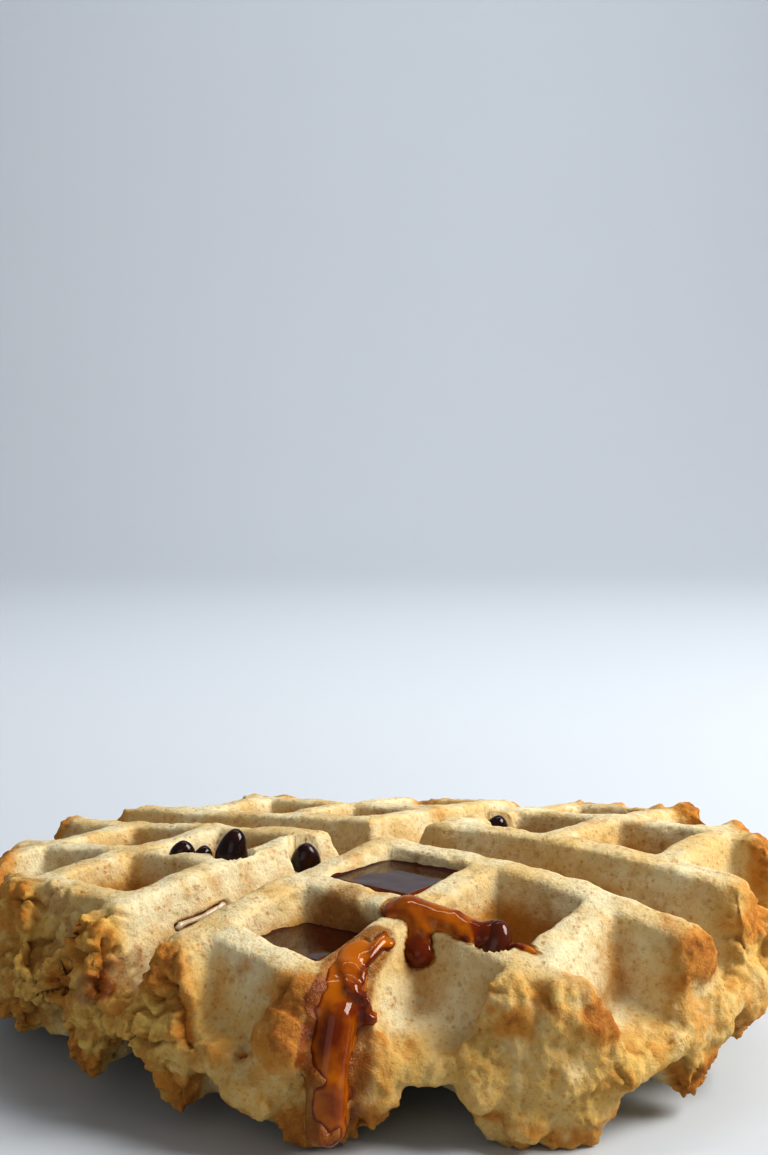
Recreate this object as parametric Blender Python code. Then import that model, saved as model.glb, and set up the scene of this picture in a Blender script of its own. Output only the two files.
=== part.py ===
"""A thick waffle with chocolate chips baked in, and maple syrup in two pockets and down one side.

Metres, +Z up. The ridges run along X and Y, and two wide grooves part the waffle into quarters.
Forms are modelled on the flat waffle, with the middle of the web where the grooves cross at
0, 0, 0. The whole is then bent as it sags, and lifted onto the surface that it rests on.
"""

import math

import bmesh
import bpy
from mathutils import Matrix, Vector, noise

MM = 0.001

# Ridges and pockets, as the iron makes them
PITCH = 27.5 * MM
RIDGE_WIDTH = 6.6 * MM
GROOVE_WIDTH = 15.2 * MM
TOP_RIDGE_HEIGHT = 14.0 * MM
UNDER_RIDGE_HEIGHT = 12.0 * MM
WEB = 5.0 * MM
DRAFT = math.radians(15)
EDGE_ROUND = 1.2 * MM
EDGE_DROP = 0.5 * MM
POCKETS_EACH_WAY = 3
SLAB_HALF = 102.0 * MM

# How far the batter ran out, in pitches, every 22.5 degrees round from +X
RIM_REACH = (3.22, 3.12, 2.95, 2.72, 2.62, 2.68, 2.88, 3.1, 3.38, 3.22, 3.08, 2.98, 2.88, 2.96, 2.8, 3.2)
RIM_SEGMENTS = 100
RIM_RINGS = 20
RIM_HALF_HEIGHT = 22.0 * MM
RIM_SQUARENESS = 6
FLASH = 2.5 * MM
FLASH_HALF_HEIGHT = 4.5 * MM
CRUMB = 2.4 * MM
CRUMB_SPACING = 9.0 * MM

# Crusty lumps on the rim: degrees round from +X, height over the web's middle, and radius
RIM_LUMPS = (
    (-68.0, -3.0 * MM, 6.5 * MM),
    (-63.5, 6.5 * MM, 5.2 * MM),
    (-38.0, -2.0 * MM, 5.5 * MM),
    (-33.0, -7.0 * MM, 4.5 * MM),
    (-96.0, -4.0 * MM, 6.0 * MM),
    (-104.0, 3.0 * MM, 5.0 * MM),
    (-118.0, -5.0 * MM, 6.0 * MM),
    (-134.0, -3.0 * MM, 5.5 * MM),
    (4.0, -2.0 * MM, 7.0 * MM),
    (12.0, 4.0 * MM, 6.0 * MM),
    (21.0, -3.0 * MM, 5.5 * MM),
    (57.0, 13.6 * MM, 4.4 * MM),
    (76.0, -1.0 * MM, 5.5 * MM),
    (128.0, -3.0 * MM, 5.0 * MM),
)

# Sag, along and away from a level line that runs this far round from +X
SAG_HEADING = math.radians(38)
RISE_ALONG = 0.045
FALL_AWAY = 0.078
SAG_ALONG = 0.36
SAG_AWAY = 1.67
SAG_MORE_ALONG = 11.4
SAG_LESS_AWAY = 12.0

# Where the grooves cross, with the waffle's lowest ridges pressed flat on the surface under it
CROSSING = Vector((1.1, 3.5, 24.4)) * MM

# Chips: place in pitches, height of the base over the web's middle, and width
CHIP_HEIGHT_TO_WIDTH = 1.15
CHIPS = (
    (-0.47, -1.22, 14.0 * MM, 6.4 * MM),
    (-0.93, -1.31, 10.0 * MM, 6.0 * MM),
    (-0.72, -1.30, 11.5 * MM, 4.6 * MM),
    (-0.24, -0.62, 8.0 * MM, 6.2 * MM),
    (0.47, 1.02, 11.5 * MM, 5.6 * MM),
    (2.04, -1.29, 11.5 * MM, 6.4 * MM),
)

# Thick syrup: x and y in pitches, height over the web's middle in mm, and the run's radius
SYRUP_RUNS = {
    "over the crossing": (((1.37, -1.41, 15.6), (1.44, -1.44, 15.6), (1.50, -1.46, 14.8)), 2.8 * MM),
    "down the corner": (((1.46, -1.46, 15.0), (1.54, -1.53, 11.0), (1.57, -1.56, 6.0)), 2.6 * MM),
    "along the ridge": (((1.48, -1.40, 15.4), (1.70, -1.38, 15.4), (1.98, -1.36, 14.8)), 2.4 * MM),
    "down the front": (((1.45, -2.15, 13.0), (1.55, -2.42, 11.0), (1.60, -2.56, 4.0), (1.62, -2.60, -6.0)), 4.4 * MM),
}

# Pools: the pocket's place in its quarter, and how far its level is below that pocket's far corner
SYRUP_POOLS = {"syrup_pool_full": (0, 0, 2.8 * MM), "syrup_pool_low": (0, 1, 7.4 * MM)}
SYRUP_GAP = 0.4 * MM

POCKET_WIDTH = PITCH - RIDGE_WIDTH
FIRST_POCKET = GROOVE_WIDTH / 2 + RIDGE_WIDTH
TOP = WEB / 2 + TOP_RIDGE_HEIGHT
UNDER = -WEB / 2 - UNDER_RIDGE_HEIGHT
WALL_RUN = TOP_RIDGE_HEIGHT * math.tan(DRAFT)


def start_scene():
    for obj in list(bpy.data.objects):
        bpy.data.objects.remove(obj, do_unlink=True)
    for name in ("waffle with syrup", "cutters", "toppings"):
        collection = bpy.data.collections.new(name)
        bpy.context.scene.collection.children.link(collection)


def material(name, colour, roughness):
    made = bpy.data.materials.new(name)
    made.use_nodes = True
    shader = made.node_tree.nodes["Principled BSDF"]
    shader.inputs["Base Color"].default_value = (*colour, 1.0)
    shader.inputs["Roughness"].default_value = roughness
    shader.inputs["Metallic"].default_value = 0.0
    return made


def add_object(name, bm, collection):
    mesh = bpy.data.meshes.new(name)
    bmesh.ops.recalc_face_normals(bm, faces=bm.faces)
    bm.to_mesh(mesh)
    bm.free()
    obj = bpy.data.objects.new(name, mesh)
    bpy.data.collections[collection].objects.link(obj)
    return obj


def apply_boolean(obj, operation, collection):
    """Joins or trims the object with all that the collection holds, and removes those helpers."""
    modifier = obj.modifiers.new("join or trim", "BOOLEAN")
    modifier.operation = operation
    modifier.solver = "MANIFOLD"
    modifier.operand_type = "COLLECTION"
    modifier.collection = bpy.data.collections[collection]
    bpy.context.view_layer.update()
    evaluated = obj.evaluated_get(bpy.context.evaluated_depsgraph_get())
    mesh = bpy.data.meshes.new_from_object(evaluated)
    obj.modifiers.clear()
    obj.data = mesh
    for helper in list(bpy.data.collections[collection].objects):
        bpy.data.objects.remove(helper, do_unlink=True)


def pocket_sides():
    """(low, high) of each pocket along one axis, away from the groove. The last is open."""
    sides = []
    for i in range(POCKETS_EACH_WAY):
        low = FIRST_POCKET + i * PITCH
        sides.append((low, low + POCKET_WIDTH))
    sides[-1] = (sides[-1][0], SLAB_HALF + PITCH)
    return sides


def hollow_depth(place, low, high, full_depth):
    """How deep a hollow with slanting walls is at this place across it."""
    inside = min(place - low, high - place)
    if inside <= -EDGE_ROUND:
        return 0.0
    if inside <= 0.0:
        return EDGE_DROP * (1 + inside / EDGE_ROUND)
    return min(full_depth, EDGE_DROP + (full_depth - EDGE_DROP) * inside / WALL_RUN)


def relief_depth(x, y, full_depth):
    """How far the surface lies below the ridge tops."""
    groove = (-GROOVE_WIDTH / 2, GROOVE_WIDTH / 2, full_depth)
    across_x = max(hollow_depth(abs(x), *side, full_depth) for side in pocket_sides())
    across_y = max(hollow_depth(abs(y), *side, full_depth) for side in pocket_sides())
    return max(min(across_x, across_y), hollow_depth(x, *groove), hollow_depth(y, *groove))


def grid_lines():
    """Where the mesh's lines cross an axis: both edges and the foot of every wall."""
    walls = [(GROOVE_WIDTH / 2, -1)]
    for low, high in pocket_sides():
        walls += [(low, 1), (high, -1)]
    lines = [SLAB_HALF]
    for edge, inward in walls:
        lines += [edge - inward * EDGE_ROUND, edge, edge + inward * WALL_RUN]
    lines = [line for line in lines if line <= SLAB_HALF]
    return sorted(lines + [-line for line in lines])


def split_corner_cells(bm):
    """Halves each cell that isn't flat, along the diagonal whose ends differ most in height."""
    for face in list(bm.faces):
        if len(face.verts) != 4 or abs(face.normal.z) < 0.1:
            continue
        first, second, third, fourth = face.verts
        if abs(first.co.z + third.co.z - second.co.z - fourth.co.z) < 0.01 * MM:
            continue
        if abs(first.co.z - third.co.z) > abs(second.co.z - fourth.co.z):
            bmesh.utils.face_split(face, first, third)
        else:
            bmesh.utils.face_split(face, second, fourth)


def make_slab():
    """The iron's pattern on both faces of a square slab."""
    lines = grid_lines()
    cells = len(lines) - 1
    bm = bmesh.new()
    bmesh.ops.create_grid(bm, x_segments=cells, y_segments=cells, size=0.5)
    under = list(bm.verts)
    for vert in under:
        vert.co.x = lines[round((vert.co.x + 0.5) * cells)]
        vert.co.y = lines[round((vert.co.y + 0.5) * cells)]
    extruded = bmesh.ops.extrude_face_region(bm, geom=list(bm.faces))["geom"]
    above = [item for item in extruded if isinstance(item, bmesh.types.BMVert)]
    for vert in above:
        vert.co.z = TOP - relief_depth(vert.co.x, vert.co.y, TOP_RIDGE_HEIGHT)
    for vert in under:
        vert.co.z = UNDER + relief_depth(vert.co.x, vert.co.y, UNDER_RIDGE_HEIGHT)
    bm.normal_update()
    split_corner_cells(bm)
    return add_object("waffle", bm, "waffle with syrup")


def rim_radius(angle):
    """The rim's distance from the crossing, easing from each of its measures to the next."""
    step = 2 * math.pi / len(RIM_REACH)
    place = (angle % (2 * math.pi)) / step
    before = int(place) % len(RIM_REACH)
    after = (before + 1) % len(RIM_REACH)
    share = (1 - math.cos(math.pi * (place - int(place)))) / 2
    return PITCH * (RIM_REACH[before] * (1 - share) + RIM_REACH[after] * share)


def crumb(point, spacing):
    """Uneven relief, about -1 to 1, whose bumps are this far apart."""
    return noise.noise(point / spacing) + 0.6 * noise.noise(point * 2.3 / spacing)


def make_rim():
    """A round block with a torn, crumbly side, to which the slab is trimmed."""
    bm = bmesh.new()
    bmesh.ops.create_uvsphere(bm, u_segments=RIM_SEGMENTS, v_segments=RIM_RINGS, radius=1.0)
    for vert in bm.verts:
        angle = math.atan2(vert.co.y, vert.co.x)
        outward = Vector((math.cos(angle), math.sin(angle), 0))
        height = vert.co.z * RIM_HALF_HEIGHT
        reach = max(0.0, 1 - abs(vert.co.z) ** RIM_SQUARENESS) ** (1 / RIM_SQUARENESS)
        place = outward * rim_radius(angle) * reach + Vector((0, 0, height))
        swell = CRUMB * crumb(place, CRUMB_SPACING) + FLASH * math.exp(-((height / FLASH_HALF_HEIGHT) ** 2))
        vert.co = place + outward * reach * swell
    return add_object("rim", bm, "cutters")


def add_lump(angle, height, radius):
    """A crusty lump, half sunk in the rim."""
    bm = bmesh.new()
    bmesh.ops.create_icosphere(bm, subdivisions=2, radius=radius)
    for vert in bm.verts:
        vert.co *= 1 + 0.25 * crumb(vert.co + Vector((angle, height, 0)), radius)
    reach = rim_radius(angle) - radius * 0.25
    bmesh.ops.translate(bm, verts=bm.verts, vec=(reach * math.cos(angle), reach * math.sin(angle), height))
    return add_object("lump", bm, "toppings")


def add_chip(x, y, base, width):
    """A chocolate chip: a rounded drop that narrows to a point."""
    bm = bmesh.new()
    bmesh.ops.create_uvsphere(bm, u_segments=10, v_segments=7, radius=0.5)
    for vert in bm.verts:
        up = vert.co.z + 0.5
        slimmer = 1.12 - 0.62 * up
        vert.co = Vector((vert.co.x * slimmer, vert.co.y * slimmer, up * CHIP_HEIGHT_TO_WIDTH)) * width
    bmesh.ops.translate(bm, verts=bm.verts, vec=(x * PITCH, y * PITCH, base))
    return add_object("chip", bm, "toppings")


def add_run(name, points, radius):
    """A thick run of syrup: a round-ended tube, thinner at its start, made a mesh."""
    curve = bpy.data.curves.new(name, "CURVE")
    curve.dimensions = "3D"
    curve.bevel_depth = radius
    curve.bevel_resolution = 2
    curve.use_fill_caps = True
    spline = curve.splines.new("POLY")
    ends = [Vector((x * PITCH, y * PITCH, z * MM)) for x, y, z in points]
    route = [ends[0] + (ends[0] - ends[1]).normalized() * radius * 0.6, *ends]
    route.append(ends[-1] + (ends[-1] - ends[-2]).normalized() * radius * 0.6)
    spline.points.add(len(route) - 1)
    for point, place in zip(spline.points, route):
        point.co = (*place, 1)
    spline.points[0].radius = 0.5
    spline.points[-1].radius = 0.5
    tube = bpy.data.objects.new(name, curve)
    bpy.data.collections["toppings"].objects.link(tube)
    bpy.context.view_layer.update()
    mesh = bpy.data.meshes.new_from_object(tube.evaluated_get(bpy.context.evaluated_depsgraph_get()))
    bpy.data.objects.remove(tube, do_unlink=True)
    bm = bmesh.new()
    bm.from_mesh(mesh)
    bmesh.ops.remove_doubles(bm, verts=bm.verts, dist=0.00001)
    return add_object(name, bm, "toppings")


def bend(point):
    """Where a point of the flat waffle lies once the waffle has sagged and been set down."""
    along = point.x * math.cos(SAG_HEADING) + point.y * math.sin(SAG_HEADING)
    away = point.y * math.cos(SAG_HEADING) - point.x * math.sin(SAG_HEADING)
    tilt = FALL_AWAY * away - RISE_ALONG * along
    stiffness = SAG_AWAY + SAG_MORE_ALONG * along - SAG_LESS_AWAY * away
    drop = tilt + SAG_ALONG * along**2 + stiffness * away**2
    return Vector((point.x, point.y, point.z - drop)) + CROSSING


def bend_verts(verts):
    for vert in verts:
        vert.co = bend(vert.co)


def cut_flat(bm, height, keep_above):
    """Cuts the mesh at this height, and closes it with a level face."""
    up = Vector((0, 0, -1 if keep_above else 1))
    geometry = list(bm.verts) + list(bm.edges) + list(bm.faces)
    cut = bmesh.ops.bisect_plane(bm, geom=geometry, plane_co=(0, 0, height), plane_no=up, clear_outer=True)
    edges = [item for item in cut["geom_cut"] if isinstance(item, bmesh.types.BMEdge)]
    bmesh.ops.edgeloop_fill(bm, edges=edges)


def make_waffle():
    waffle = make_slab()
    make_rim()
    apply_boolean(waffle, "INTERSECT", "cutters")
    for angle, height, radius in RIM_LUMPS:
        add_lump(math.radians(angle), height, radius)
    for chip in CHIPS:
        add_chip(*chip)
    for name, (points, radius) in SYRUP_RUNS.items():
        add_run(name, points, radius)
    apply_boolean(waffle, "UNION", "toppings")
    bm = bmesh.new()
    bm.from_mesh(waffle.data)
    bend_verts(bm.verts)
    cut_flat(bm, 0.0, keep_above=True)
    bm.to_mesh(waffle.data)
    bm.free()
    waffle.data.shade_smooth()
    waffle.data.set_sharp_from_angle(angle=math.radians(35))
    waffle.data.materials.clear()
    waffle.data.materials.append(material("waffle", (0.72, 0.55, 0.32), 0.75))


def make_pool(name, column, row, below_corner, syrup):
    """Syrup standing in one pocket of the quarter between +X and -Y, level on top."""
    corner = Vector((FIRST_POCKET + column * PITCH, -FIRST_POCKET - row * PITCH, TOP))
    foot_half = POCKET_WIDTH / 2 - WALL_RUN - SYRUP_GAP
    edge_half = POCKET_WIDTH / 2 - SYRUP_GAP
    depth = TOP_RIDGE_HEIGHT - EDGE_DROP - SYRUP_GAP
    middle = corner + Vector((POCKET_WIDTH / 2, -POCKET_WIDTH / 2, -EDGE_DROP - depth / 2))
    bm = bmesh.new()
    turned = Matrix.Translation(middle) @ Matrix.Rotation(math.radians(45), 4, "Z")
    to_corner = math.sqrt(2)
    bmesh.ops.create_cone(bm, cap_ends=True, segments=4, radius1=foot_half * to_corner,
                          radius2=edge_half * to_corner, depth=depth, matrix=turned)
    bend_verts(bm.verts)
    cut_flat(bm, bend(corner).z - below_corner, keep_above=False)
    pool = add_object(name, bm, "waffle with syrup")
    pool.data.materials.append(syrup)


def main():
    start_scene()
    make_waffle()
    syrup = material("maple syrup", (0.16, 0.035, 0.006), 0.05)
    for name, pocket in SYRUP_POOLS.items():
        make_pool(name, *pocket, syrup)


main()
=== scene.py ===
"""The looks of the waffle: its crumb and crust, the chips, and the syrup in and on it.

Forms are worked out on the flat waffle, in pitches and metres, and are then bent as the solid is.
"""

import math

import bmesh
import bpy
import numpy as np
from mathutils import Matrix, Vector, noise
from mathutils.bvhtree import BVHTree


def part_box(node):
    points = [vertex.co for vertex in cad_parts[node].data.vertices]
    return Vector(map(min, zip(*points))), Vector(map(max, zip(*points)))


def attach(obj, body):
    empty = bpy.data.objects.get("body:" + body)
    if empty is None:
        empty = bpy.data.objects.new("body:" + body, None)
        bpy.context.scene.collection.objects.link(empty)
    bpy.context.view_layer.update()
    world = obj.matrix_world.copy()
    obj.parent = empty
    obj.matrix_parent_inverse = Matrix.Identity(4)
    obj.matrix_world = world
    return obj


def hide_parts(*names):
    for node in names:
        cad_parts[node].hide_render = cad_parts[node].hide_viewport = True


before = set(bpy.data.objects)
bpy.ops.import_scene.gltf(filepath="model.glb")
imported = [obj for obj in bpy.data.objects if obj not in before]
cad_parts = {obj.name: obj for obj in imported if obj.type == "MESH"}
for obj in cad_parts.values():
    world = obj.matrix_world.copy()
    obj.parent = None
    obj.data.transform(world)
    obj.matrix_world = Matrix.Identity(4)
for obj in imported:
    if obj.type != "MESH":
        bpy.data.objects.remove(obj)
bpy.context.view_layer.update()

MM = 0.001

# The solid's own measures
PITCH = 27.5 * MM
RIDGE_WIDTH = 6.6 * MM
GROOVE_WIDTH = 15.2 * MM
TOP = 16.5 * MM
UNDER = -14.5 * MM
WEB_TOP = 2.5 * MM
RIM_REACH = (3.22, 3.12, 2.95, 2.72, 2.62, 2.68, 2.88, 3.1, 3.38, 3.22, 3.08, 2.98, 2.88, 2.96, 2.8, 3.2)
SAG_HEADING = math.radians(38)
RISE_ALONG = 0.045
FALL_AWAY = 0.078
SAG_ALONG = 0.36
SAG_AWAY = 1.67
SAG_MORE_ALONG = 11.4
SAG_LESS_AWAY = 12.0
CROSSING = np.array((1.1, 3.5, 24.4)) * MM

# The crumb's mesh
VOXEL = 0.62 * MM
SOFTENING = 11

# Where the rim is torn open, and where a stub of it stays pale: a heading, and how far round it fades
TORN_HEADING = math.radians(-100)
TORN_REACH = (math.radians(26), math.radians(10))
STUB_HEADING = math.radians(-36)
STUB_REACH = (math.radians(15), math.radians(7))

# How deep the crumb's holes go and how far it gives way under syrup, in mm
CRACK_DEPTH = 2.2
PORE_DEPTH = 0.55
PIN_HOLE_DEPTH = 0.35
ROOM_FOR_SYRUP = 1.5

# Chips: place in pitches, height of the base over the web's middle, width, and where the tip leans
CHIPS = (
    (-0.47, -1.22, 14.0 * MM, 7.2 * MM, 8),
    (-0.93, -1.31, 11.4 * MM, 6.8 * MM, -20),
    (-0.72, -1.30, 12.2 * MM, 5.2 * MM, 60),
    (-0.24, -0.62, 8.2 * MM, 7.0 * MM, -35),
    (0.47, 1.02, 9.2 * MM, 6.6 * MM, 15),
    (2.06, -1.31, 11.6 * MM, 7.2 * MM, 25),
)

# A chip's form, as shares of its height or width: how high its round foot is, and how far its tip leans
CHIP_HEIGHT_TO_WIDTH = 1.05
CHIP_FOOT = 0.16
CHIP_LEAN = 0.22
CHIP_UNEVENNESS = 0.09

# What is left of the solid's own chips under these
CHIP_STUMP = 0.6 * MM
CHIP_STUMP_SLOPE = 0.15

# The chip that syrup has run over, from its foot up: x and y in pitches, height in mm
COATED_CHIP = ((2.06, -1.31, 11.6), (2.06, -1.31, 18.0))

# Films of syrup: how far they spread and swell in mm, then x and y in pitches and height in mm
SYRUP_FILMS = (
    (4.0, 1.0, ((1.34, -1.45, 17.0), (1.48, -1.43, 17.0), (1.70, -1.37, 16.8), (1.94, -1.34, 16.4))),
    (3.0, 1.0, ((1.48, -1.46, 17.0), (1.57, -1.53, 14.2), (1.61, -1.57, 11.8))),
    (2.0, 0.8, ((1.98, -1.34, 16.0), (2.14, -1.29, 15.6), (2.28, -1.28, 15.0), (2.42, -1.28, 14.4))),
    (1.4, 0.9, ((1.47, -1.80, 16.6), (1.50, -1.92, 16.2), (1.54, -2.06, 15.8), (1.60, -2.20, 15.2))),
    (1.1, 0.9, ((1.54, -1.76, 15.4), (1.58, -1.90, 14.8), (1.62, -2.06, 14.4), (1.66, -2.18, 14.2))),
    (3.8, 0.3, ((1.42, -2.02, 16.0), (1.46, -2.14, 15.6), (1.56, -2.30, 15.0))),
    (6.6, -0.5, ((1.56, -2.22, 15.0), (1.60, -2.42, 12.0), (1.63, -2.52, 7.0))),
    (5.6, -0.5, ((1.63, -2.50, 8.0), (1.65, -2.58, 0.0))),
    (4.4, -0.5, ((1.65, -2.58, 0.0), (1.66, -2.60, -7.0))),
    (1.0, 0.1, ((-0.205, -1.58, 8.8), (-0.205, -1.85, 8.2), (-0.205, -2.08, 8.6))),
)

# Where syrup lies thick: x and y in pitches, height in mm, and radius in mm
SYRUP_BLOBS = (
    ((1.34, -1.42, 16.0, 2.4), (1.39, -1.43, 16.2, 2.9), (1.46, -1.45, 15.8, 2.7)),
    ((1.50, -1.47, 15.4, 2.3), (1.56, -1.52, 13.4, 2.3), (1.60, -1.56, 11.6, 2.8)),
    ((1.54, -1.39, 15.9, 2.5), (1.64, -1.36, 15.8, 2.2), (1.75, -1.37, 16.0, 2.8), (1.86, -1.35, 15.6, 2.3),
     (1.96, -1.34, 15.4, 2.6), (2.02, -1.32, 15.8, 2.8), (2.05, -1.30, 16.2, 2.7)),
    ((2.16, -1.29, 14.4, 1.6), (2.34, -1.28, 13.8, 1.3)),
)
SYRUP_VOXEL = 0.4 * MM
SYRUP_SOFTENING = 9
BLOB_STEPS = 5
FILM_THICKNESS = 1.6 * MM
FILM_TUCKED_IN = 0.8 * MM

# How deep syrup is when it looks dark, and the heights between which it darkens as it runs down
DARK_DEPTH = 3.4 * MM
RUN_DARKENS = (36 * MM, 27 * MM)

# Holes and cracks in the torn rim, darkened inside with painted shade: how wide and how deep in mm, then x
# and y in pitches and height in mm
CAVITIES = (
    (2.8, 3.6, ((-0.22, -2.85, 10.5), (-0.19, -2.86, 7.5), (-0.21, -2.90, 5.5))),
    (2.4, 4.2, ((0.52, -2.88, 9.6), (0.59, -2.85, 6.7), (0.61, -2.87, 3.6))),
    (3.4, 4.0, ((-0.68, -2.94, 7.0), (-0.64, -2.97, 2.0), (-0.60, -2.97, -3.0))),
    (1.6, 2.4, ((0.40, -2.88, 11.6), (0.50, -2.88, 10.0))),
    (1.8, 2.6, ((0.05, -2.92, -2.0), (0.30, -2.93, 1.0))),
    (1.5, 2.2, ((1.00, -2.72, 10.0), (1.02, -2.74, 4.0), (1.16, -2.72, -1.0))),
    (1.3, 1.8, ((1.06, -2.60, 13.0), (1.28, -2.54, 13.6))),
)

# Darker crusts that stand out from the rim: x and y in pitches, then height, size and how far out in mm
BROWNED_SPOTS = (
    (1.28, -2.62, 6.5, 6.0, 1.8),
    (2.62, -1.46, 13.0, 4.0, 0.4),
    (1.55, 2.45, 15.5, 4.5, 0.0),
)

# Where syrup has wetted the crumb: how far in mm and how strongly, then x and y in pitches and height in mm
WET_STREAKS = (
    (4.4, 1.0, ((1.44, -1.84, 16.0), (1.52, -2.15, 15.0))),
    (6.8, 1.0, ((1.52, -2.20, 14.5), (1.60, -2.42, 11.0), (1.66, -2.55, -6.0))),
    (7.0, 1.0, ((0.84, -1.53, 12.0), (0.92, -1.54, 8.0), (1.20, -1.54, 8.0))),
    (5.0, 0.8, ((0.60, -0.60, 10.0), (1.10, -0.60, 9.0))),
    (1.8, 0.4, ((-0.21, -1.55, 8.5), (-0.21, -1.82, 8.0), (-0.21, -2.05, 8.5))),
    (1.6, 0.4, ((-0.21, -2.12, 8.5), (-0.21, -2.30, 8.0))),
    (2.2, 0.6, ((-0.21, -2.55, 7.5), (-0.21, -2.65, 6.5))),
    (3.2, 0.8, ((-0.32, -2.93, 3.8), (-0.17, -2.86, 5.3), (-0.18, -2.74, 6.4))),
)

# Pools: the pocket's place in the quarter between +X and -Y
SYRUP_POOLS = {"syrup_pool_full": (0, 0), "syrup_pool_low": (0, 1)}
POOL_CELLS = 64
POOL_OVERLAP = 0.9 * MM
POOL_OFF_FLOOR = 0.2 * MM
POOL_FOOT_TO_TOP = 0.72
POOL_CREEP = 0.9 * MM
POOL_CREEPS_FROM = 0.80
POOL_RIPPLE = 0.07 * MM


def smooth_step(low, high, values):
    share = np.clip((values - low) / (high - low), 0, 1)
    return share * share * (3 - 2 * share)


def sag(x, y):
    """How far the waffle has sunk at this place, as in the solid."""
    along = x * math.cos(SAG_HEADING) + y * math.sin(SAG_HEADING)
    away = y * math.cos(SAG_HEADING) - x * math.sin(SAG_HEADING)
    stiffness = SAG_AWAY + SAG_MORE_ALONG * along - SAG_LESS_AWAY * away
    return FALL_AWAY * away - RISE_ALONG * along + SAG_ALONG * along**2 + stiffness * away**2


def bend(points):
    """Places on the flat waffle, put where the sunk one has them."""
    bent = points.copy()
    bent[:, 2] -= sag(points[:, 0], points[:, 1])
    return bent + CROSSING


def unbend(points):
    """Places on the sunk waffle, put where the flat one has them."""
    flat = points - CROSSING
    flat[:, 2] += sag(flat[:, 0], flat[:, 1])
    return flat


def rim_radius(angles):
    """The rim's distance from the crossing, as in the solid."""
    reach = np.array(RIM_REACH)
    place = (angles % (2 * math.pi)) / (2 * math.pi / len(reach))
    before = place.astype(int) % len(reach)
    after = (before + 1) % len(reach)
    share = (1 - np.cos(math.pi * (place - place.astype(int)))) / 2
    return PITCH * (reach[before] * (1 - share) + reach[after] * share)


def get_points(mesh):
    points = np.empty(len(mesh.vertices) * 3)
    mesh.vertices.foreach_get("co", points)
    return points.reshape(-1, 3)


def get_normals(mesh):
    normals = np.empty(len(mesh.vertices) * 3)
    mesh.vertices.foreach_get("normal", normals)
    return normals.reshape(-1, 3)


def set_points(mesh, points):
    mesh.vertices.foreach_set("co", points.ravel())
    mesh.update()


def add_mask(mesh, name, values):
    """A number from 0 to 1 at each vertex, for the material to read."""
    layer = mesh.attributes.new(name, "FLOAT", "POINT")
    layer.data.foreach_set("value", np.clip(values, 0, 1).astype(np.float32))


def add_piece(name, mesh, finish):
    piece = bpy.data.objects.new(name, mesh)
    bpy.context.scene.collection.objects.link(piece)
    mesh.materials.clear()
    mesh.materials.append(finish)
    mesh.shade_smooth()
    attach(piece, "root")
    return piece


def applied(mesh, name, *modifiers):
    """A new mesh with these modifiers applied: each is a type and its settings."""
    holder = bpy.data.objects.new(name, mesh)
    bpy.context.scene.collection.objects.link(holder)
    for kind, settings in modifiers:
        modifier = holder.modifiers.new(kind, kind)
        for key, value in settings.items():
            setattr(modifier, key, value)
    bpy.context.view_layer.update()
    made = bpy.data.meshes.new_from_object(holder.evaluated_get(bpy.context.evaluated_depsgraph_get()))
    bpy.data.objects.remove(holder, do_unlink=True)
    return made


def noise_at(points, size, octaves=1, seed=0.0):
    """Noise from about -1 to 1 at each point, whose bumps are this far apart."""
    shift = Vector((seed, seed * 1.7, -seed))
    values = np.empty(len(points))
    for i, point in enumerate(points):
        place = Vector(point) / size + shift
        value = noise.noise(place)
        for octave in range(1, octaves):
            value += noise.noise(place * 2.1**octave) * 0.55**octave
        values[i] = value
    return values


def pits_at(points, size, reach, seed=0.0):
    """1 at the middle of each scattered pit, falling to 0 at its edge."""
    shift = Vector((seed, -seed, seed * 0.6))
    values = np.empty(len(points))
    for i, point in enumerate(points):
        distances, centres = noise.voronoi(Vector(point) / size + shift)
        kept = noise.cell(centres[0] * 7.3) * 0.5 + 0.5
        radius = reach * (0.4 + 0.6 * kept)
        values[i] = max(0.0, 1 - distances[0] / radius) if kept > 0.45 else 0.0
    return values


# Materials

# The colour sockets of a Mix node
MIX_FIRST_COLOUR = 6
MIX_SECOND_COLOUR = 7
MIX_COLOUR = 2


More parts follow.
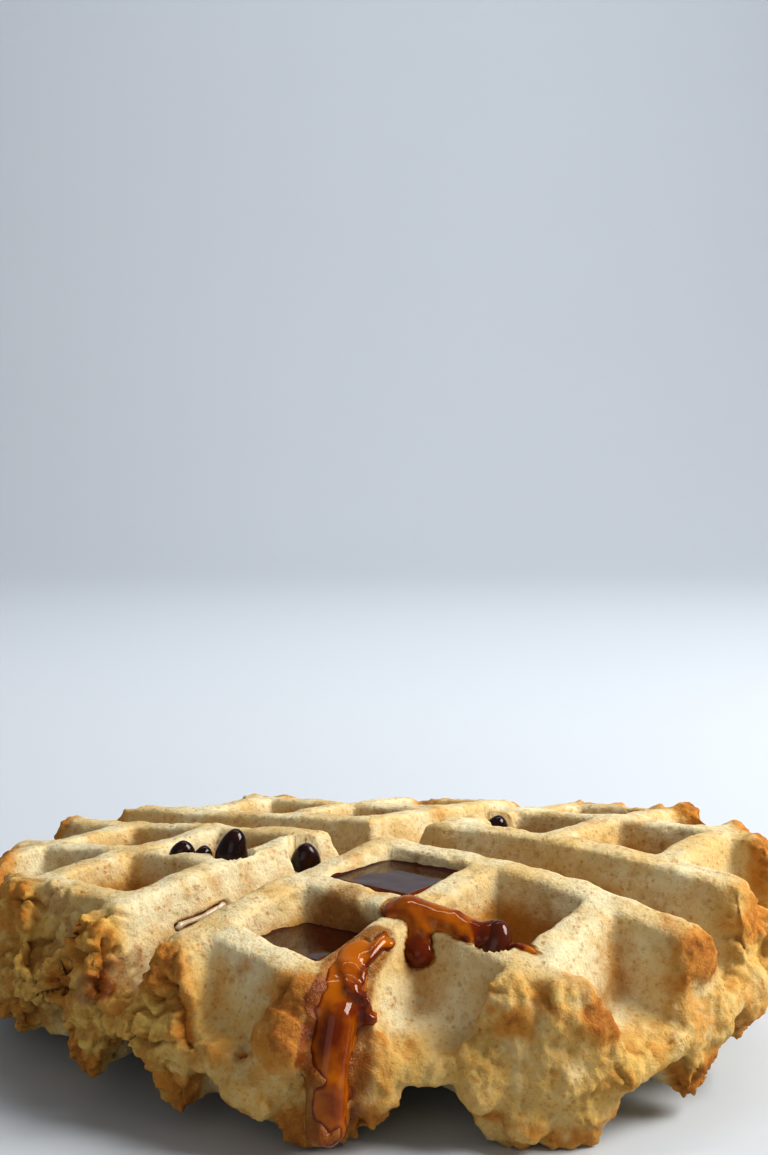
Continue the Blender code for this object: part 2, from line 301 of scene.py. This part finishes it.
class Graph:
    """Short calls for building a material's nodes."""

    def __init__(self, name):
        self.material = bpy.data.materials.new(name)
        self.material.use_nodes = True
        self.nodes = self.material.node_tree.nodes
        self.links = self.material.node_tree.links
        self.shader = self.nodes["Principled BSDF"]
        self.place = self.nodes.new("ShaderNodeTexCoord").outputs["Object"]

    def feed(self, socket, value):
        if isinstance(value, bpy.types.NodeSocket):
            self.links.new(value, socket)
        elif isinstance(value, tuple) and len(value) == 3 and socket.type == "RGBA":
            socket.default_value = (*value, 1.0)
        else:
            socket.default_value = value

    def noise(self, size, detail=3.0, roughness=0.55):
        node = self.nodes.new("ShaderNodeTexNoise")
        self.feed(node.inputs["Vector"], self.place)
        node.inputs["Scale"].default_value = 1 / size
        node.inputs["Detail"].default_value = detail
        node.inputs["Roughness"].default_value = roughness
        return node.outputs["Fac"]

    def cells(self, size):
        node = self.nodes.new("ShaderNodeTexVoronoi")
        self.feed(node.inputs["Vector"], self.place)
        node.inputs["Scale"].default_value = 1 / size
        return node.outputs["Distance"]

    def mask(self, name):
        node = self.nodes.new("ShaderNodeAttribute")
        node.attribute_name = name
        return node.outputs["Fac"]

    def ramp(self, value, low, high, start=0.0, end=1.0):
        node = self.nodes.new("ShaderNodeMapRange")
        node.interpolation_type = "SMOOTHSTEP"
        names = ("Value", "From Min", "From Max", "To Min", "To Max")
        for name, given in zip(names, (value, low, high, start, end)):
            self.feed(node.inputs[name], given)
        return node.outputs["Result"]

    def calculate(self, operation, *values):
        node = self.nodes.new("ShaderNodeMath")
        node.operation = operation
        for socket, value in zip(node.inputs, values):
            self.feed(socket, value)
        return node.outputs["Value"]

    def add(self, first, second):
        return self.calculate("ADD", first, second)

    def times(self, first, second):
        return self.calculate("MULTIPLY", first, second)

    def centred(self, value, width):
        """A number from 0 to 1, stretched to this width about 0."""
        return self.calculate("MULTIPLY_ADD", value, width, -width / 2)

    def mix(self, share, first, second, blend="MIX"):
        node = self.nodes.new("ShaderNodeMix")
        node.data_type = "RGBA"
        node.blend_type = blend
        self.feed(node.inputs["Factor"], share)
        self.feed(node.inputs[MIX_FIRST_COLOUR], first)
        self.feed(node.inputs[MIX_SECOND_COLOUR], second)
        return node.outputs[MIX_COLOUR]

    def bump(self, height, depth, strength=1.0):
        node = self.nodes.new("ShaderNodeBump")
        node.inputs["Strength"].default_value = strength
        node.inputs["Distance"].default_value = depth
        self.feed(node.inputs["Height"], height)
        self.feed(self.shader.inputs["Normal"], node.outputs["Normal"])

    def set(self, **values):
        for name, value in values.items():
            self.feed(self.shader.inputs[name.replace("_", " ")], value)


# Colours of crumb, crust and chocolate
CREAM = (0.73, 0.66, 0.45)
BEIGE = (0.66, 0.50, 0.235)
TAN = (0.45, 0.235, 0.045)
# Browner crust deep in the pockets, and painted shade there too
DEEP_TAN_AND_SHADE = (0.45, 0.220, 0.030)
GOLDEN = (0.60, 0.39, 0.11)
TOAST = (0.52, 0.22, 0.025)
DARK_TOAST = (0.28, 0.085, 0.008)
YELLOW_CRUMB = (0.66, 0.44, 0.11)
STAIN = (0.46, 0.25, 0.05)
CHOCOLATE = (0.012, 0.0025, 0.002)
BROWN_CHOCOLATE = (0.030, 0.006, 0.004)
COATED_CHOCOLATE = (0.09, 0.014, 0.002)

# Syrup where it's thin, middling and thick, and how clear it is
RUN_COLOURS = ((0.90, 0.44, 0.012), (0.64, 0.19, 0.001), (0.22, 0.030, 0.0005))
RUN_CLEARNESS = 0.35
POOL_COLOURS = ((0.26, 0.06, 0.004), (0.09, 0.013, 0.001), (0.036, 0.005, 0.0006))
POOL_CLEARNESS = 0.0
# A pale thin film of syrup in the groove: clear syrup over pale crumb, and partly a painted glint
PALE_SYRUP_AND_GLINT = (0.78, 0.70, 0.52)
BACKDROP_COLOUR = (0.56, 0.60, 0.65)


def waffle_finish():
    """Pale crumb that is browned on its ridges, ends and torn rim, stained where syrup has run, and
    darkened with painted shade deep in its pockets, in its hollows and in its pores and cracks.
    """
    g = Graph("waffle crumb")
    broad = g.noise(13 * MM, 3.0)
    patch = g.noise(5 * MM, 4.0, 0.6)
    grain = g.noise(1.5 * MM, 5.0, 0.7)
    fine = g.noise(0.5 * MM, 2.0)
    browned_and_hollow_shade = g.mask("browned_and_hollow_shade")
    wet = g.mask("wet")
    colour = g.mix(g.ramp(broad, 0.36, 0.66), CREAM, BEIGE)
    # Deeper in the pockets the crumb turns a deeper tan: partly browner crust, partly painted shade
    deep = g.add(g.mask("depth"), g.centred(patch, 0.7))
    colour = g.mix(g.ramp(deep, 0.05, 0.62, 0.0, 0.97), colour, DEEP_TAN_AND_SHADE)
    colour = g.mix(g.times(g.mask("rim"), g.ramp(patch, 0.30, 0.55, 0.45, 0.85)), colour, GOLDEN)
    colour = g.mix(g.ramp(grain, 0.50, 0.70, 0.0, 0.50), colour, TAN)
    crumb_patch = g.mix(g.ramp(patch, 0.42, 0.60), YELLOW_CRUMB, TAN)
    colour = g.mix(g.times(g.mask("torn"), 0.85), colour, crumb_patch)
    # Browned crust darkens to toast, and so does the painted shade in the rim's hollows
    toasted = g.ramp(g.add(browned_and_hollow_shade, g.centred(patch, 1.1)), 0.15, 0.85)
    colour = g.mix(g.times(toasted, 0.88), colour, TOAST)
    darkest = g.ramp(g.add(browned_and_hollow_shade, g.centred(grain, 1.3)), 0.70, 1.15)
    colour = g.mix(g.times(darkest, 0.7), colour, DARK_TOAST)
    freckles = g.ramp(g.cells(1.7 * MM), 0.12, 0.34, 1.0, 0.0)
    freckles = g.times(freckles, g.ramp(g.noise(4.1 * MM, 2.0), 0.44, 0.58))
    colour = g.mix(g.times(freckles, 0.55), colour, TOAST)
    specks = g.ramp(g.cells(0.95 * MM), 0.10, 0.30, 0.32, 0.0)
    colour = g.mix(g.times(specks, g.ramp(patch, 0.38, 0.55)), colour, DARK_TOAST)
    # Painted shade in the pores, pin holes and cracks
    colour = g.mix(g.times(g.mask("pit_shade"), 0.65), colour, TAN)
    colour = g.mix(g.ramp(wet, 0.1, 0.9), colour, STAIN, "MULTIPLY")
    g.set(Base_Color=colour, Subsurface_Weight=0.10, Subsurface_Scale=2 * MM, IOR=1.40)
    g.set(Subsurface_Radius=(1.0, 0.6, 0.3))
    g.set(Roughness=g.ramp(wet, 0.2, 0.8, 0.78, 0.16))
    height = g.add(g.times(grain, 0.8), g.times(fine, 0.3))
    height = g.calculate("SUBTRACT", height, g.times(freckles, 0.2))
    g.bump(height, 0.6 * MM, 0.9)
    return g.material


def chip_finish():
    g = Graph("dark chocolate")
    patch = g.noise(2.5 * MM, 3.0)
    colour = g.mix(g.ramp(patch, 0.4, 0.65), CHOCOLATE, BROWN_CHOCOLATE)
    colour = g.mix(g.mask("coated"), colour, COATED_CHOCOLATE)
    g.set(Base_Color=colour, Roughness=g.ramp(patch, 0.35, 0.7, 0.10, 0.26), IOR=1.42)
    g.bump(g.noise(1.4 * MM, 2.0), 0.12 * MM, 0.5)
    return g.material


def syrup_finish(name, colours, clearness):
    """Amber where it's thin and nearly black-brown where it's thick, and always glossy."""
    thin, middle, thick = colours
    g = Graph(name)
    level = g.add(g.mask("thick"), g.centred(g.noise(3.0 * MM, 2.0), 0.5))
    colour = g.mix(g.ramp(level, 0.0, 0.5), thin, middle)
    colour = g.mix(g.ramp(level, 0.5, 1.0), colour, thick)
    # Where the syrup is watery it turns pale: clear film over crumb, partly a painted glint
    colour = g.mix(g.mask("watery_and_glint"), colour, PALE_SYRUP_AND_GLINT)
    g.set(Base_Color=colour, Roughness=0.05, IOR=1.38, Transmission_Weight=clearness)
    g.bump(g.noise(6 * MM, 1.0), 0.15 * MM, 0.4)
    return g.material


def backdrop_finish():
    g = Graph("pale backdrop")
    shade = tuple(part * 0.985 for part in BACKDROP_COLOUR)
    tone = g.ramp(g.noise(0.4, 2.0), 0.3, 0.7)
    g.set(Base_Color=g.mix(tone, BACKDROP_COLOUR, shade), Roughness=0.7)
    return g.material


# Pieces

def press_chips(flat):
    """Presses the solid's chips down to stumps, in place."""
    x, y, height = flat.T
    for x_middle, y_middle, base, width, _ in CHIPS:
        stump = base + CHIP_STUMP
        near = np.hypot(x - x_middle * PITCH, y - y_middle * PITCH) < width * 0.62
        high = near & (height > stump) & (height > TOP - 7 * MM)
        height[high] = np.minimum(height[high], stump + (height[high] - base) * CHIP_STUMP_SLOPE)


def depth_mask(flat, inset):
    """0 on the ridges and 1 at the bottom of the pockets, and less in the grooves and near the rim; the
    crumb darkens with it, as browner crust and painted shade.
    """
    x, y, height = flat.T
    from_top = (TOP - height) / (TOP - WEB_TOP)
    from_under = (height - UNDER) / (-WEB_TOP - UNDER)
    depth = np.clip(np.where(height > 0, from_top, from_under), 0, 1)
    half = GROOVE_WIDTH / 2
    groove = smooth_step(half + 3 * MM, half - 1 * MM, np.minimum(np.abs(x), np.abs(y)))
    return depth * (1 - 0.5 * groove) * (1 - 0.85 * smooth_step(19 * MM, 8 * MM, inset))


def cavity_depth(flat, uneven):
    """How far the torn rim is hollowed at each point, in mm."""
    hollow = np.zeros(len(flat))
    for width, deep, places in CAVITIES:
        distance = distance_to_line(flat, places) + uneven
        reached = smooth_step(width * 1.2 * MM, width * 0.35 * MM, distance)
        hollow = np.maximum(hollow, reached * deep)
    return hollow


def browned_spots(flat, lumps):
    """How far in each point lies on a darker crust, from 0 to 1, and how far it stands out in mm."""
    inside = np.zeros(len(flat))
    standing_out = np.zeros(len(flat))
    for x, y, height, size, stands_out in BROWNED_SPOTS:
        away = np.linalg.norm(flat - np.array((x * PITCH, y * PITCH, height * MM)), axis=1)
        spot = smooth_step(size * 1.35 * MM, size * 0.6 * MM, away + 1.5 * MM * lumps)
        inside = np.maximum(inside, spot)
        standing_out += spot * (stands_out + 0.5 * lumps)
    return inside, standing_out


def make_waffle():
    """The solid's skin, remeshed finely, softened, and roughened into crumb, crust and pores."""
    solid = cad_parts["waffle"].data.copy()
    skin = applied(solid, "skin", ("REMESH", {"mode": "VOXEL", "voxel_size": VOXEL}),
                   ("SMOOTH", {"factor": 0.5, "iterations": SOFTENING}))
    flat = unbend(get_points(skin))
    press_chips(flat)
    set_points(skin, bend(flat))
    points = get_points(skin)
    normals = get_normals(skin)
    cover, swelling = syrup_cover(flat)
    film = make_film(skin, points, normals, cover, swelling)

    x, y, height = flat.T
    angle = np.arctan2(y, x)
    inset = rim_radius(angle) - np.hypot(x, y)
    rim = smooth_step(7 * MM, 0.5 * MM, inset)
    wide_rim = smooth_step(12 * MM, 3 * MM, inset)
    depth = depth_mask(flat, inset)
    wet = np.maximum(wet_mask(flat), smooth_step(0.0, 0.15, cover))
    torn_side = smooth_step(*TORN_REACH, np.abs(angle - TORN_HEADING))
    torn_patch = smooth_step(0.0, 0.45, noise_at(flat, 13 * MM, 1, 3.0))
    torn = np.clip(wide_rim * torn_side + rim * torn_patch * 0.7, 0, 1) * (1 - wet)
    swell = noise_at(flat, 11 * MM, 2, 1.0)
    lumps = noise_at(flat, 4.6 * MM, 3, 5.0)
    crumbs = noise_at(flat, 1.8 * MM, 2, 9.0)
    cracks = smooth_step(0.16, 0.0, np.abs(noise_at(flat, 9 * MM, 2, 12.0)))
    pores = pits_at(flat, 4.3 * MM, 0.30, 2.0)
    pin_holes = pits_at(flat, 2.3 * MM, 0.36, 4.0)
    hollow = cavity_depth(flat, (0.9 * lumps + 0.5 * crumbs) * MM)
    spots, standing_out = browned_spots(flat, lumps)

    # How far the skin moves out, in mm
    move = (0.65 * swell + 0.12 * lumps + 0.15 * crumbs + standing_out) * (1 - cover) - hollow
    move += rim * (0.50 * lumps + 0.25 * crumbs) * (1 - 0.7 * wet)
    move += torn * (1.3 * lumps + 0.4 * crumbs - CRACK_DEPTH * cracks)
    move -= (PORE_DEPTH * pores + PIN_HOLE_DEPTH * pin_holes) * (1 - wet)
    move -= ROOM_FOR_SYRUP * smooth_step(0.3, 1.0, cover)
    set_points(skin, points + normals * move[:, None] * MM)

    edge = smooth_step(0.30, 0.05, depth)
    ridge_end = np.where(height > 0, smooth_step(3 * MM, 12 * MM, height + 3 * MM * lumps),
                         smooth_step(-4 * MM, -8 * MM, height))
    pale_stub = smooth_step(*STUB_REACH, np.abs(angle - STUB_HEADING))
    browned_and_hollow_shade = rim * (0.24 + 0.38 * ridge_end) * (1 + 0.9 * swell) * (1 - 0.35 * torn)
    browned_and_hollow_shade += 0.16 * wide_rim * ridge_end + 0.42 * edge * (0.22 + noise_at(flat, 8 * MM, 2, 7.0))
    browned_and_hollow_shade *= 1 - (0.50 + 0.5 * lumps) * pale_stub
    browned_and_hollow_shade = np.maximum(browned_and_hollow_shade, spots * (1 - cover) * 0.70)
    # Painted shade: the hollows in the torn rim are darkened like the darkest crust
    browned_and_hollow_shade = np.maximum(browned_and_hollow_shade, smooth_step(0.5, 2.5, hollow) * 1.3)
    # The depth mask darkens the crumb in the pockets: browner crust and painted shade
    add_mask(skin, "depth", depth)
    add_mask(skin, "rim", smooth_step(10 * MM, 1 * MM, inset))
    add_mask(skin, "torn", torn)
    add_mask(skin, "browned_and_hollow_shade", browned_and_hollow_shade)
    # Pores, pin holes and the torn rim's cracks, for painted shade in them
    add_mask(skin, "pit_shade", pores + pin_holes + torn * cracks)
    add_mask(skin, "wet", wet * (0.8 + 0.35 * lumps))
    piece = add_piece("waffle_crumb", skin, waffle_finish())
    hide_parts("waffle")
    return piece, film


def distance_to_line(flat, places):
    """How far each point is from a line of straight stretches."""
    nearest = np.full(len(flat), 1e9)
    for start, end in zip(places, places[1:]):
        start = np.array((start[0] * PITCH, start[1] * PITCH, start[2] * MM))
        end = np.array((end[0] * PITCH, end[1] * PITCH, end[2] * MM))
        along = end - start
        share = np.clip((flat - start) @ along / (along @ along), 0, 1)
        nearest = np.minimum(nearest, np.linalg.norm(flat - start - share[:, None] * along, axis=1))
    return nearest


def wet_mask(flat):
    """How wet the crumb is at each point, from 0 to 1."""
    wet = np.zeros(len(flat))
    for spread, strength, places in WET_STREAKS:
        distance = distance_to_line(flat, places)
        wet = np.maximum(wet, strength * smooth_step(spread * 1.25 * MM, spread * 0.6 * MM, distance))
    return wet


def syrup_cover(flat):
    """How far in under syrup each point lies, from 0 to 1, and how far the syrup swells there."""
    cover = np.zeros(len(flat))
    swelling = np.zeros(len(flat))
    for spread, swell, places in SYRUP_FILMS:
        distance = distance_to_line(flat, places)
        near = distance < spread * 1.6 * MM
        uneven = noise_at(flat[near], 3.4 * MM, 2, 21.0) * min(0.9, spread * 0.3) * MM
        reached = smooth_step(spread * 1.15 * MM, spread * 0.5 * MM, distance[near] + uneven)
        swelling[near] = np.where(reached > cover[near], reached * swell * MM, swelling[near])
        cover[near] = np.maximum(cover[near], reached)
    return cover, swelling


def make_film(skin, points, normals, cover, swelling):
    """The skin where syrup covers it, lifted in the middle and tucked under the crumb at the edges."""
    lifted = points + normals * ((cover - 1) * FILM_TUCKED_IN + swelling)[:, None]
    sheet = skin.copy()
    set_points(sheet, lifted)
    bm = bmesh.new()
    bm.from_mesh(sheet)
    dry = [vert for vert, covered in zip(bm.verts, cover) if covered < 0.06]
    bmesh.ops.delete(bm, geom=dry, context="VERTS")
    bm.to_mesh(sheet)
    bm.free()
    return applied(sheet, "film", ("SOLIDIFY", {"thickness": FILM_THICKNESS, "offset": -1.0}))


def make_chips():
    """Drops of chocolate with a round foot and a tip that leans."""
    bm = bmesh.new()
    for x, y, base, width, lean in CHIPS:
        place = Vector((x * PITCH, y * PITCH, base))
        heading = Vector((math.cos(math.radians(lean)), math.sin(math.radians(lean)), 0))
        ball = bmesh.ops.create_uvsphere(bm, u_segments=32, v_segments=20, radius=0.5)
        for vert in ball["verts"]:
            up = min(1.0, max(0.0, vert.co.z + 0.5))
            outward = Vector((vert.co.x, vert.co.y, 0))
            if outward.length > 1e-6:
                outward.normalize()
            foot = min(1.0, up / CHIP_FOOT) ** 0.5
            girth = 0.5 * foot * (1 - up**2.6) ** 0.55
            girth *= 1 + CHIP_UNEVENNESS * noise.noise(vert.co * 2.2 + Vector((x, y, 0)) * 5)
            leaning = heading * (max(0.0, up - 0.5) * CHIP_LEAN)
            rise = Vector((0, 0, up * CHIP_HEIGHT_TO_WIDTH))
            vert.co = (outward * girth + leaning + rise) * width + place
    mesh = bpy.data.meshes.new("chips")
    bm.to_mesh(mesh)
    bm.free()
    flat = get_points(mesh)
    coated = distance_to_line(flat, COATED_CHIP) < 6 * MM
    set_points(mesh, bend(flat))
    add_mask(mesh, "coated", coated * 1.0)
    return add_piece("chocolate_chips", mesh, chip_finish())


def add_blobs(bm):
    """Balls of syrup, close together along each thick run."""
    for run in SYRUP_BLOBS:
        for start, end in zip(run, run[1:]):
            for step in range(BLOB_STEPS + 1):
                share = step / BLOB_STEPS
                x, y, height, radius = (a + (b - a) * share for a, b in zip(start, end))
                place = Matrix.Translation((x * PITCH, y * PITCH, height * MM))
                bmesh.ops.create_icosphere(bm, subdivisions=2, radius=radius * MM, matrix=place)


def make_runs(waffle, film):
    """The film and the blobs on it, joined into one skin of syrup that lies on the crumb."""
    bm = bmesh.new()
    add_blobs(bm)
    mesh = bpy.data.meshes.new("runs")
    bm.to_mesh(mesh)
    set_points(mesh, bend(get_points(mesh)))
    bm.clear()
    bm.from_mesh(mesh)
    bm.from_mesh(film)
    bm.to_mesh(mesh)
    bm.free()
    skin = applied(mesh, "runs", ("REMESH", {"mode": "VOXEL", "voxel_size": SYRUP_VOXEL}),
                   ("SMOOTH", {"factor": 0.5, "iterations": SYRUP_SOFTENING}))
    points = get_points(skin)
    thick = spread_out(skin, depths(skin, waffle), 5) / DARK_DEPTH
    thick += 0.22 * noise_at(points, 6 * MM, 2, 31.0)
    thick += 0.5 * smooth_step(*RUN_DARKENS, points[:, 2])
    # The thin film in the groove is paled: clear syrup over crumb, partly a painted glint
    in_groove = smooth_step(0.0, -0.1 * PITCH, points[:, 0] - CROSSING[0])
    add_mask(skin, "thick", thick)
    add_mask(skin, "watery_and_glint", 0.85 * in_groove)
    finish = syrup_finish("syrup run", RUN_COLOURS, RUN_CLEARNESS)
    return add_piece("syrup_runs", skin, finish)


def depths(skin, waffle):
    """How far the crumb lies under each point of the syrup's skin."""
    tree = BVHTree.FromObject(waffle, bpy.context.evaluated_depsgraph_get())
    farthest = 6 * MM
    found = np.empty(len(skin.vertices))
    for i, (point, normal) in enumerate(zip(get_points(skin), get_normals(skin))):
        hit, _, _, distance = tree.ray_cast(Vector(point), -Vector(normal), farthest)
        found[i] = farthest if hit is None else distance
    return found


def spread_out(mesh, values, rounds):
    """Values at the vertices, each averaged with its neighbours' this many times."""
    ends = np.empty(len(mesh.edges) * 2, dtype=np.int32)
    mesh.edges.foreach_get("vertices", ends)
    first, second = ends.reshape(-1, 2).T
    neighbours = np.bincount(ends, minlength=len(values))
    for _ in range(rounds):
        total = np.bincount(first, values[second], len(values))
        total += np.bincount(second, values[first], len(values))
        values = (values + total / neighbours) / 2
    return values


def make_pool(name, column, row, finish):
    """The solid's own pool, with a fine top that creeps up its pocket's walls."""
    low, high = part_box(name)
    first = GROOVE_WIDTH / 2 + RIDGE_WIDTH
    to_middle = (PITCH - RIDGE_WIDTH) / 2
    middle = Vector((first + column * PITCH + to_middle, -first - row * PITCH - to_middle))
    middle = middle + Vector(CROSSING[:2])
    level = high.z
    half = (high.x - low.x) / 2 + POOL_OVERLAP
    at_level = Matrix.Translation((middle.x, middle.y, level))
    bm = bmesh.new()
    bmesh.ops.create_grid(bm, x_segments=POOL_CELLS, y_segments=POOL_CELLS, size=half, matrix=at_level)
    for item in bmesh.ops.extrude_face_region(bm, geom=list(bm.faces))["geom"]:
        if isinstance(item, bmesh.types.BMVert):
            item.co.z = low.z + POOL_OFF_FLOOR
            item.co.x = middle.x + (item.co.x - middle.x) * POOL_FOOT_TO_TOP
            item.co.y = middle.y + (item.co.y - middle.y) * POOL_FOOT_TO_TOP
    bmesh.ops.recalc_face_normals(bm, faces=bm.faces)
    for vert in bm.verts:
        if abs(vert.co.z - level) < 0.01 * MM:
            reach = max(abs(vert.co.x - middle.x), abs(vert.co.y - middle.y)) / half
            creep = max(0.0, (reach - POOL_CREEPS_FROM) / (1 - POOL_CREEPS_FROM)) ** 2 * POOL_CREEP
            ripple = POOL_RIPPLE * noise.noise(Vector((vert.co.x, vert.co.y, 0)) / (5 * MM))
            vert.co.z += creep + ripple
    mesh = bpy.data.meshes.new(name)
    bm.to_mesh(mesh)
    bm.free()
    points = get_points(mesh)
    reach = np.maximum(np.abs(points[:, 0] - middle.x), np.abs(points[:, 1] - middle.y)) / half
    add_mask(mesh, "thick", smooth_step(1.0, 0.84, reach) * 0.8 + 0.3)
    piece = add_piece(name + "_surface", mesh, finish)
    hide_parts(name)
    return piece


# Setting

# The camera: its place in pitches, heading, tilt and roll, and how far the waffle leans in its view
CAMERA_ACROSS = (0.100, -14.458)
CAMERA_OVER_TOP = 3.0121 * PITCH
CAMERA_HEADING = 0.662
CAMERA_DOWN = 0.068
CAMERA_ROLL = -0.021
WAFFLE_TURNED_ALONG = 0.0204
WAFFLE_TURNED_AWAY = -0.0403
LENS = 56.1

# Floor and wall: where the floor starts and ends, its curve's radius and steps, and the wall's top
FLOOR_START = -2.2
FLOOR_END = 0.9
CURVE_RADIUS = 0.6
CURVE_STEPS = 12
WALL_TOP = 3.0
HALF_WIDTH = 3.0
FLOOR_GAP = 0.1 * MM

# Lights: name, place, target, size, power and colour
LIGHTS = (
    ("window", (0.62, 0.36, 0.66), (0, 0, 0.02), (0.5, 0.5), 13.2, (1.0, 0.97, 0.92)),
    ("front fill", (0.25, -0.9, 0.35), (0, 0, 0.02), (0.7, 0.5), 1.0, (1.0, 0.98, 0.95)),
    ("backdrop glow", (-0.1, 0.35, 0.9), (-0.75, 0.95, 0.35), (0.8, 0.4), 8.6, (0.97, 0.98, 1.0)),
)
ROOM_COLOUR = (0.86, 0.85, 0.84, 1)
ROOM_BRIGHTNESS = 0.33
GAMMA = 0.82


def camera_directions():
    """Level directions to the camera's right and straight away from it."""
    along = Vector((math.cos(CAMERA_HEADING), math.sin(CAMERA_HEADING), 0))
    away = Vector((-math.sin(CAMERA_HEADING), math.cos(CAMERA_HEADING), 0))
    return along, away


def make_camera():
    """The photo's view of the waffle, turned with it to where it lies at rest."""
    along, away = camera_directions()
    ahead = away * math.cos(CAMERA_DOWN) - Vector((0, 0, math.sin(CAMERA_DOWN)))
    up = along.cross(ahead)
    side = along * math.cos(CAMERA_ROLL) + up * math.sin(CAMERA_ROLL)
    over = up * math.cos(CAMERA_ROLL) - along * math.sin(CAMERA_ROLL)
    pose = Matrix((side, over, -ahead)).transposed().to_4x4()
    beside = along * CAMERA_ACROSS[0] + away * CAMERA_ACROSS[1]
    pose.translation = beside * PITCH + Vector((0, 0, CAMERA_OVER_TOP))
    slope = along * WAFFLE_TURNED_ALONG + away * WAFFLE_TURNED_AWAY
    turn = Matrix.Rotation(math.atan(slope.length), 4, slope.normalized().cross(Vector((0, 0, 1))))
    camera = bpy.data.cameras.new("camera")
    camera.sensor_fit = "VERTICAL"
    camera.sensor_height = 36
    camera.lens = LENS
    viewer = bpy.data.objects.new("camera", camera)
    viewer.matrix_world = Matrix.Translation(Vector(CROSSING) + Vector((0, 0, TOP))) @ turn @ pose
    bpy.context.scene.collection.objects.link(viewer)
    bpy.context.scene.camera = viewer


def add_light(name, place, target, size, power, colour):
    light = bpy.data.lights.new(name, "AREA")
    light.shape = "RECTANGLE"
    light.size, light.size_y = size
    light.energy = power
    light.color = colour
    lamp = bpy.data.objects.new(name, light)
    lamp.location = place
    lamp.rotation_euler = (Vector(target) - Vector(place)).to_track_quat("-Z", "Y").to_euler()
    bpy.context.scene.collection.objects.link(lamp)


def make_backdrop():
    """A pale floor that curves up into a wall behind, square to the camera."""
    profile = [(FLOOR_START, 0.0), (FLOOR_END, 0.0)]
    for step in range(1, CURVE_STEPS + 1):
        turn = math.radians(90 / CURVE_STEPS * step)
        run = FLOOR_END + CURVE_RADIUS * math.sin(turn)
        profile.append((run, CURVE_RADIUS - CURVE_RADIUS * math.cos(turn)))
    profile.append((FLOOR_END + CURVE_RADIUS, WALL_TOP))
    along, away = camera_directions()
    bm = bmesh.new()
    rows = []
    for distance, height in profile:
        edge = away * distance + Vector((0, 0, height - FLOOR_GAP))
        rows.append([bm.verts.new(edge + along * side) for side in (-HALF_WIDTH, HALF_WIDTH)])
    for near, far in zip(rows, rows[1:]):
        bm.faces.new((near[0], near[1], far[1], far[0]))
    mesh = bpy.data.meshes.new("backdrop")
    bm.to_mesh(mesh)
    bm.free()
    mesh.materials.append(backdrop_finish())
    mesh.shade_smooth()
    backdrop = bpy.data.objects.new("backdrop", mesh)
    bpy.context.scene.collection.objects.link(backdrop)


def make_setting():
    make_backdrop()
    world = bpy.data.worlds.new("soft room")
    world.use_nodes = True
    back = world.node_tree.nodes["Background"]
    back.inputs["Color"].default_value = ROOM_COLOUR
    back.inputs["Strength"].default_value = ROOM_BRIGHTNESS
    bpy.context.scene.world = world
    for light in LIGHTS:
        add_light(*light)
    bpy.context.scene.view_settings.view_transform = "Standard"
    bpy.context.scene.view_settings.gamma = GAMMA


make_camera()
make_setting()
waffle, film = make_waffle()
make_chips()
make_runs(waffle, film)
syrup = syrup_finish("syrup pool", POOL_COLOURS, POOL_CLEARNESS)
for pool_name, pocket in SYRUP_POOLS.items():
    make_pool(pool_name, *pocket, syrup)
